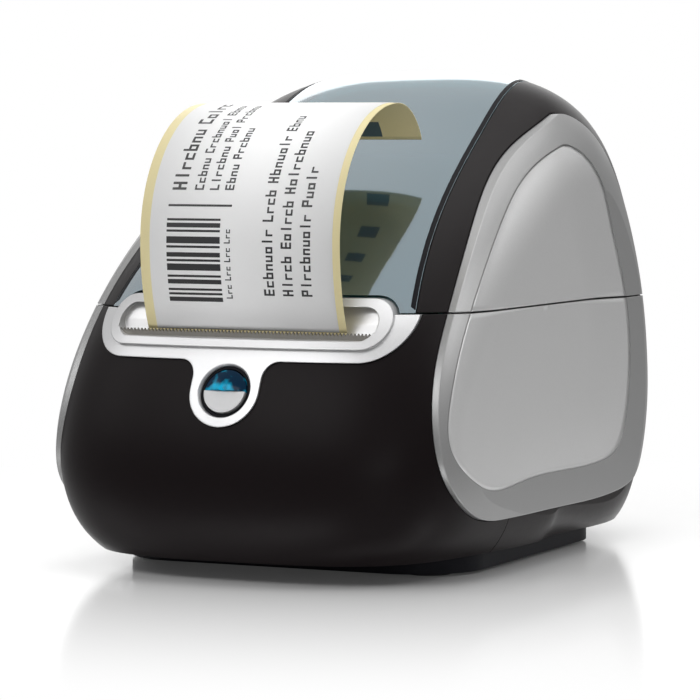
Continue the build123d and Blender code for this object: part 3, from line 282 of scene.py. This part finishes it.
def on_strip(along, lift):
    """Side-view point on the free paper, lifted outwards from its middle."""
    y, z = EXIT
    angle = math.radians(180 - RISE)
    for radius, turn in ARCS:
        length = radius * math.radians(turn)
        step = min(along, length)
        cy, cz = y + radius * math.sin(angle), z - radius * math.cos(angle)
        angle -= step / radius
        y, z = cy - radius * math.sin(angle), cz + radius * math.cos(angle)
        along -= step
        if along <= 0:
            break
    return y - lift * math.sin(angle), z + lift * math.cos(angle)


def mesh_piece(name, verts, faces, mat):
    """A smooth mesh object from millimetres, with its finish and material slot."""
    data = bpy.data.meshes.new(name)
    data.from_pydata([tuple(c * MM for c in v) for v in verts], [], faces)
    data.update()
    for poly in data.polygons:
        poly.use_smooth = True
    obj = bpy.data.objects.new(name, data)
    scene.collection.objects.link(obj)
    data.materials.append(mat)
    return obj


def skin(verts, faces, x0, x1, low, high=None):
    """Faces between x0 and x1 over a row of side-view points; with a second row it is a closed thin sheet."""
    base = len(verts)
    for row in (low,) if high is None else (low, high):
        for y, z in row:
            verts += [(x0, y, z), (x1, y, z)]
    row = 2 * len(low)
    for i in range(len(low) - 1):
        a = base + 2 * i
        if high is None:
            faces.append((a, a + 1, a + 3, a + 2))
            continue
        faces.append((a, a + 2, a + 3, a + 1))
        b = a + row
        faces.append((b, b + 1, b + 3, b + 2))
        faces.append((a, b, b + 2, a + 2))
        faces.append((a + 1, a + 3, b + 3, b + 1))
    if high is not None:
        a, b = base, base + row
        faces.append((a, a + 1, b + 1, b))
        a, b = base + row - 2, base + 2 * row - 2
        faces.append((a, b, b + 1, a + 1))


def patch(verts, faces, x0, x1, s0, s1, low, high=None):
    """A curved rectangle of the strip; with two lifts it is a closed thin sheet."""
    count = max(1, round((s1 - s0) / PATCH_STEP))
    places = [s0 + (s1 - s0) * i / count for i in range(count + 1)]
    top = None if high is None else [on_strip(along, high) for along in places]
    skin(verts, faces, x0, x1, [on_strip(along, low) for along in places], top)


def ribbon(verts, faces, x0, x1, points, thick):
    """A thin closed sheet along a path of the side view."""
    low, high = [], []
    for i, (y, z) in enumerate(points):
        before, after = points[max(i - 1, 0)], points[min(i + 1, len(points) - 1)]
        run_y, run_z = after[0] - before[0], after[1] - before[1]
        share = thick / 2 / math.hypot(run_y, run_z)
        low.append((y + run_z * share, z - run_y * share))
        high.append((y - run_z * share, z + run_y * share))
    skin(verts, faces, x0, x1, low, high)


def strip_piece(name, x0, x1, s0, s1, low, high, mat):
    """A closed thin sheet on the free paper."""
    verts, faces = [], []
    patch(verts, faces, x0, x1, s0, s1, low, high)
    return mesh_piece(name, verts, faces, mat)


def bars(name, marks, lift, mat):
    """Printed bars, each a patch just off the paper."""
    verts, faces = [], []
    for x0, x1, s0, s1 in marks:
        patch(verts, faces, x0, x1, s0, s1, lift)
    return mesh_piece(name, verts, faces, mat)


def text_line(x, tall, start, words):
    """One line of print that reads up the strip: made-up letter shapes for each word, with gaps between."""
    marks = []
    for length in words:
        count = max(1, round(length / (tall * LETTER_PITCH)))
        pitch = length / count
        for i in range(count):
            if i == 0:
                glyph = CAPITALS[round(length) % len(CAPITALS)]
            else:
                glyph = SMALLS[(3 * i + 2 * count + round(length)) % len(SMALLS)]
            for x0, x1, s0, s1 in glyph:
                left, foot = x - tall / 2, start + i * pitch
                wide = pitch * LETTER_FILL
                marks.append((left + x0 * tall, left + x1 * tall, foot + s0 * wide, foot + s1 * wide))
        start += length + WORD_GAP * tall
    return marks


def web_points():
    """Side view of the paper inside the case, from under the roll through the nip to the slot."""
    y, z = WEB_START
    rise = 0.0
    points = [WEB_START]
    for radius, amount in WEB:
        step = amount / WEB_STEPS
        for _ in range(WEB_STEPS):
            turn = step if radius else 0.0
            length = 2 * radius * math.sin(math.radians(step / 2)) if radius else step
            y -= length * math.cos(math.radians(rise + turn / 2))
            z += length * math.sin(math.radians(rise + turn / 2))
            rise += turn
            points.append((y, z))
    return points


def inner_web():
    """The paper inside the case, as a thin sheet along its path in the side view."""
    verts, faces = [], []
    ribbon(verts, faces, -HALF, HALF, web_points(), LINER)
    web = mesh_piece("inner_web", verts, faces, finishes["liner_paper"])
    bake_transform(web)
    return web


def leaf_springs():
    """Two bent leaf springs from the mechanism's floor to the print head's carrier."""
    path = [SPRING[0]]
    for a, b in zip(SPRING, SPRING[1:]):
        for i in range(1, SPRING_STEPS + 1):
            path.append((a[0] + (b[0] - a[0]) * i / SPRING_STEPS, a[1] + (b[1] - a[1]) * i / SPRING_STEPS))
    verts, faces = [], []
    for x in SPRING_X:
        ribbon(verts, faces, x - SPRING_HALF, x + SPRING_HALF, path, SPRING_THICK)
    springs = mesh_piece("leaf_springs", verts, faces, finishes[slots["head_springs"]])
    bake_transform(springs)
    return springs


total = free_length()
strip = strip_piece("paper_strip", -HALF, HALF, 0, total, -LINER / 2, LINER / 2, finishes["liner_paper"])
label = strip_piece("label_sheet", LABEL_LEFT, LABEL_RIGHT, LABEL_START, total - LABEL_SHORT, LINER / 2,
                    LINER / 2 + LABEL, finishes["label_paper"])
marks = [mark for line in SENDER for mark in text_line(*line)]
marks.append(RULE)
marks += [mark for line in RECEIVER for mark in text_line(*line)]
place = BAR_START
for width, gap in BARS_AND_GAPS:
    marks.append((*BAR_ACROSS, place, place + width))
    place += width + gap
marks += text_line(*BAR_CAPTION)
print_marks = bars("label_print", marks, LINER / 2 + LABEL + INK_RISE, ink)
sense_places = [SENSE_START + SENSE_PITCH * i for i in range(SENSE_COUNT)]
sense = bars("sense_marks", [(*SENSE_ACROSS, place, place + SENSE_LONG) for place in sense_places],
             -LINER / 2 - INK_RISE, sense_ink)
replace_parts(inner_web(), "label_liner")
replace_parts(leaf_springs(), "head_springs")
for piece in (strip, label, print_marks, sense):
    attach(piece, "base")
    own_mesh(piece)
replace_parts(strip, "label_liner")
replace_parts(label, "printed_label")

# Dark seal along each side of the window, laid on its outer face
SEAL_FRONT, SEAL_REAR = -65.0, 44.0
SEAL_STEPS = 60
SEAL_WIDTH = 1.3
SEAL_INSET = 0.1
SEAL_RISE = 0.08
PROBE_TOP = 300
PROBE_SIDE = 50.0
PROBE_STEP = 0.05


def probe_tree(node):
    """A CAD piece's faces, ready for probing with rays."""
    mesh = nodes[node].data
    return BVHTree.FromPolygons([v.co for v in mesh.vertices], [p.vertices for p in mesh.polygons])


def window_top(sheet, x, y):
    """Height of the window's outer face over a place in the plan, or None beside the window."""
    hit = sheet.ray_cast(Vector((x, y, PROBE_TOP)) * MM, Vector((0, 0, -1)))[0]
    return hit.z / MM if hit else None


def seal_edge(sheet, side, y):
    """Half width of the window at a place along it, found by probing inwards from beside it."""
    x = PROBE_SIDE
    while window_top(sheet, side * x, y) is None:
        x -= PROBE_STEP
    return x


def window_seal():
    """A thin closed strip on each side of the window, which turns with the lid."""
    sheet = probe_tree("lid_window")
    verts, faces = [], []
    for side in (-1, 1):
        first = len(verts)
        for i in range(SEAL_STEPS + 1):
            y = SEAL_FRONT + (SEAL_REAR - SEAL_FRONT) * i / SEAL_STEPS
            outer = seal_edge(sheet, side, y) - SEAL_INSET
            ring = []
            for x in (outer - SEAL_WIDTH, outer):
                ring.append((side * x, y, window_top(sheet, side * x, y) + SEAL_RISE))
            verts += ring + [(x, y, z - 2 * SEAL_RISE) for x, y, z in reversed(ring)]
        for i in range(SEAL_STEPS):
            a = first + 4 * i
            for k in range(4):
                quad = (a + k, a + (k + 1) % 4, a + 4 + (k + 1) % 4, a + 4 + k)
                faces.append(quad if side < 0 else quad[::-1])
        last = first + 4 * SEAL_STEPS
        caps = [tuple(range(first, first + 4))[::-1], tuple(range(last, last + 4))]
        faces += caps if side < 0 else [cap[::-1] for cap in caps]
    seal = mesh_piece("window_seal", verts, faces, finishes["base_black"])
    for poly in seal.data.polygons:
        poly.use_smooth = False
    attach(seal, "lid")


window_seal()

# Soft bowls in the cheeks: from BOWL_START of the way out they rise from the hollow's floor to its edge. Each
# half is a fan of turns and rings round a middle on the parting line.
SEAM_Z, SEAM_HALF = 71.0, 0.28
BOWL_Y = -6.0
BOWL_TURNS = 96
BOWL_RINGS = 28
BOWL_START = 0.55
BOWL_LIFT = 0.06
BOWL_BACK = 0.3
LIP = 0.3
LIP_SINK = 0.03
PROBE_OUT = 100
REACH_STEP = 0.2
REACH_STEPS = range(100, 480)
WALL_CLEAR = 0.6


def cheek_probe(node, side):
    """A function that gives the height of a cheek piece's outer face at a place in the side view."""
    sheet = probe_tree(node)

    def probe(y, z):
        hit = sheet.ray_cast(Vector((side * PROBE_OUT, y, z)) * MM, Vector((-side, 0, 0)))[0]
        return None if hit is None else side * hit.x / MM
    return probe


def hollow_reach(probe, z, cos, sin):
    """Distance from the bowl's middle to the wall of the hollow: where the face steps up most."""
    best, reach, before = 0.0, None, None
    for i in REACH_STEPS:
        radius = i * REACH_STEP
        here = probe(BOWL_Y + radius * cos, z + radius * sin)
        if here is None:
            break
        if before is not None and here - before > best:
            best, reach = here - before, radius - REACH_STEP / 2
        before = here
    return reach


def bowl_row(probe, z, angle, side):
    """Points of a bowl from its middle out to the hollow's edge, where the last one is sunk under the rim."""
    cos, sin = math.cos(angle), math.sin(angle)
    reach = hollow_reach(probe, z, cos, sin)
    inside, outside = reach - WALL_CLEAR, reach + WALL_CLEAR
    edge = probe(BOWL_Y + outside * cos, z + outside * sin)
    wall = edge - probe(BOWL_Y + inside * cos, z + inside * sin)
    row = []
    for j in range(BOWL_RINGS + 1):
        share = j / BOWL_RINGS
        probed = min(share * reach, inside)
        floor_x = probe(BOWL_Y + probed * cos, z + probed * sin)
        rise = max(0.0, (share - BOWL_START) / (1 - BOWL_START)) ** 2
        x = floor_x + BOWL_LIFT + wall * rise if j < BOWL_RINGS else edge - LIP_SINK
        radius = share * (reach + LIP)
        row.append((side * x, BOWL_Y + radius * cos, z + radius * sin))
    return row


def cheek_bowl(node, body, side, upper):
    """One closed shell over half of a hollow, from the parting line to the hollow's edge."""
    probe = cheek_probe(node, side)
    z = SEAM_Z + (SEAM_HALF if upper else -SEAM_HALF)
    first = 0 if upper else 1
    rows = [bowl_row(probe, z, math.pi * (i / BOWL_TURNS + first), side) for i in range(BOWL_TURNS + 1)]
    verts = [rows[0][0]] + [point for row in rows for point in row[1:]]
    count = len(verts)
    verts += [(x - side * BOWL_BACK, y, z) for x, y, z in verts]

    def at(i, j):
        return 0 if j == 0 else i * BOWL_RINGS + j

    def wall(a, b):
        return [a, a + count, b + count, b]

    faces, walls = [], []
    for i in range(BOWL_TURNS):
        for j in range(BOWL_RINGS):
            ring = [at(i, j), at(i, j + 1), at(i + 1, j + 1)] + ([at(i + 1, j)] if j else [])
            faces += [ring, [v + count for v in reversed(ring)]]
        walls.append(wall(at(i, BOWL_RINGS), at(i + 1, BOWL_RINGS)))
    for j in range(BOWL_RINGS):
        walls.append(wall(at(0, j), at(0, j + 1)))
        walls.append(wall(at(BOWL_TURNS, j + 1), at(BOWL_TURNS, j)))
    turned = faces + walls if side > 0 else [face[::-1] for face in faces + walls]
    # The bowl gets the lighter painted silver: painted light
    bowl = mesh_piece(node + "_bowl", verts, turned, bowl_painted_light_finish)
    for poly in bowl.data.polygons[len(faces):]:
        poly.use_smooth = False
    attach(bowl, body)


for side, word in ((1, "right"), (-1, "left")):
    cheek_bowl("lid_panel_" + word, "lid", side, True)
    cheek_bowl("side_panel_" + word, "base", side, False)

# Camera at the photo's place
CAMERA_PLACE = (0.4155, -0.8881, 0.1188)
CAMERA_AIM = (-0.4269, 0.9021, -0.0634)
CAMERA_LENS = 177.4
cam = bpy.data.cameras.new("camera")
cam.sensor_width = 36
cam.lens = CAMERA_LENS
cam.clip_start = 0.05
cam_obj = bpy.data.objects.new("camera", cam)
scene.collection.objects.link(cam_obj)
cam_obj.location = CAMERA_PLACE
cam_obj.rotation_euler = Vector(CAMERA_AIM).to_track_quat("-Z", "Y").to_euler()
scene.camera = cam_obj

# Floor and light: in mirrors the backdrop's strength goes from MIRRORED_LOW at the horizon to MIRRORED_HIGH,
# from the height HIGH of the ray upwards
MIRRORED_LOW = 0.6
MIRRORED_HIGH = 1.0
HIGH = 0.75
AMBIENT = 0.24
FLOOR_SIZE = 80
FLOOR_MATT = (0.42, 0.42, 0.42, 1)
FLOOR_MIRROR = (0.76, 0.76, 0.76, 1)
FLOOR_ROUGH = 0.12
FLOOR_LIFT = 0.03
FADE_FROM, FADE_TO = 0.07, 0.27
# Softboxes as (name, place, target, size, power)
SOFTBOXES = (("top", (0.1, 0.1, 1.15), (0, 0, 0.06), (1.1, 0.9), 7.5),
             ("left", (-0.9, -0.5, 0.7), (0, 0, 0.08), (0.5, 0.6), 1.8),
             ("right", (0.95, 0.1, 0.95), (0, 0, 0.07), (0.6, 0.5), 3.2),
             ("front", (-0.3, -1.05, 0.9), (0, 0, 0.09), (0.9, 0.5), 6.5),
             ("back", (-0.5, 1.35, 0.66), (0, 0, 0.1), (1.5, 0.8), 6.0),
             ("fill", (0.7, -1.1, 0.22), (0, 0, 0.11), (0.4, 0.3), 1.5))


def math_node(tree, operation, first, second):
    """A Math node of two values, each a socket or a number."""
    node = tree.nodes.new("ShaderNodeMath")
    node.operation = operation
    for value, socket in zip((first, second), node.inputs):
        if isinstance(value, bpy.types.NodeSocket):
            tree.links.new(value, socket)
        else:
            socket.default_value = value
    return node.outputs["Value"]


def background_seen(tree, mirrored):
    """How bright the backdrop is: 1 to the camera, a share of that in mirrors and glass, 0 as a lamp."""
    path = tree.nodes.new("ShaderNodeLightPath")
    indirect = math_node(tree, "MAXIMUM", path.outputs["Is Glossy Ray"], path.outputs["Is Transmission Ray"])
    mirrored = math_node(tree, "MULTIPLY", indirect, mirrored)
    return math_node(tree, "MAXIMUM", path.outputs["Is Camera Ray"], mirrored)


def studio_floor():
    """White floor with a soft mirror image and shadow near the object, plain white further out."""
    mat = bpy.data.materials.new("floor")
    mat.use_nodes = True
    tree = mat.node_tree
    tree.nodes.remove(tree.nodes["Principled BSDF"])
    seen = background_seen(tree, MIRRORED_LOW)
    matt = tree.nodes.new("ShaderNodeBsdfDiffuse")
    matt.inputs["Color"].default_value = FLOOR_MATT
    mirror = tree.nodes.new("ShaderNodeBsdfGlossy")
    mirror.inputs["Color"].default_value = FLOOR_MIRROR
    mirror.inputs["Roughness"].default_value = FLOOR_ROUGH
    lift = tree.nodes.new("ShaderNodeEmission")
    tree.links.new(math_node(tree, "MULTIPLY", seen, FLOOR_LIFT), lift.inputs["Strength"])
    near = tree.nodes.new("ShaderNodeAddShader")
    tree.links.new(matt.outputs["BSDF"], near.inputs[0])
    tree.links.new(mirror.outputs["BSDF"], near.inputs[1])
    lifted = tree.nodes.new("ShaderNodeAddShader")
    tree.links.new(near.outputs["Shader"], lifted.inputs[0])
    tree.links.new(lift.outputs["Emission"], lifted.inputs[1])
    white = tree.nodes.new("ShaderNodeEmission")
    tree.links.new(seen, white.inputs["Strength"])
    coords = tree.nodes.new("ShaderNodeTexCoord")
    length = tree.nodes.new("ShaderNodeVectorMath")
    length.operation = "LENGTH"
    tree.links.new(coords.outputs["Object"], length.inputs[0])
    fade = tree.nodes.new("ShaderNodeMapRange")
    fade.interpolation_type = "SMOOTHSTEP"
    fade.inputs["From Min"].default_value = FADE_FROM
    fade.inputs["From Max"].default_value = FADE_TO
    tree.links.new(length.outputs["Value"], fade.inputs["Value"])
    mix = tree.nodes.new("ShaderNodeMixShader")
    tree.links.new(fade.outputs["Result"], mix.inputs["Fac"])
    tree.links.new(lifted.outputs["Shader"], mix.inputs[1])
    tree.links.new(white.outputs["Emission"], mix.inputs[2])
    tree.links.new(mix.outputs["Shader"], tree.nodes["Material Output"].inputs["Surface"])
    return mat


bpy.ops.mesh.primitive_plane_add(size=FLOOR_SIZE, location=(0, 0, 0))
floor = bpy.context.object
floor.name = "floor"
floor.data.materials.append(studio_floor())


def softbox(name, place, target, size, power):
    """A rectangular studio light aimed at a point."""
    data = bpy.data.lights.new(name, "AREA")
    data.shape = "RECTANGLE"
    data.size, data.size_y = size
    data.energy = power
    obj = bpy.data.objects.new(name, data)
    scene.collection.objects.link(obj)
    obj.location = place
    obj.rotation_euler = (Vector(target) - Vector(place)).to_track_quat("-Z", "Y").to_euler()
    return obj


def keep_off(lamp, piece):
    """Flag a lamp off one piece, so that the piece mirrors the pale studio instead of the lamp."""
    flagged = bpy.data.collections.new(lamp.name + "_flag")
    flagged.objects.link(piece)
    flagged.collection_objects[0].light_linking.link_state = "EXCLUDE"
    lamp.light_linking.receiver_collection = flagged


lamps = {name: softbox(name, *setting) for name, *setting in SOFTBOXES}
keep_off(lamps["top"], nodes["lid_window"])

world = bpy.data.worlds.new("studio")
scene.world = world
world.use_nodes = True
tree = world.node_tree
background = tree.nodes["Background"]
direction = tree.nodes.new("ShaderNodeTexCoord")
parts = tree.nodes.new("ShaderNodeSeparateXYZ")
tree.links.new(direction.outputs["Generated"], parts.inputs["Vector"])
height = tree.nodes.new("ShaderNodeMapRange")
height.inputs["From Max"].default_value = HIGH
height.inputs["To Min"].default_value = MIRRORED_LOW
height.inputs["To Max"].default_value = MIRRORED_HIGH
tree.links.new(parts.outputs["Z"], height.inputs["Value"])
level = math_node(tree, "MAXIMUM", background_seen(tree, height.outputs["Result"]), AMBIENT)
tree.links.new(level, background.inputs["Strength"])
background.inputs["Color"].default_value = (1, 1, 1, 1)

scene.view_settings.view_transform = "Standard"
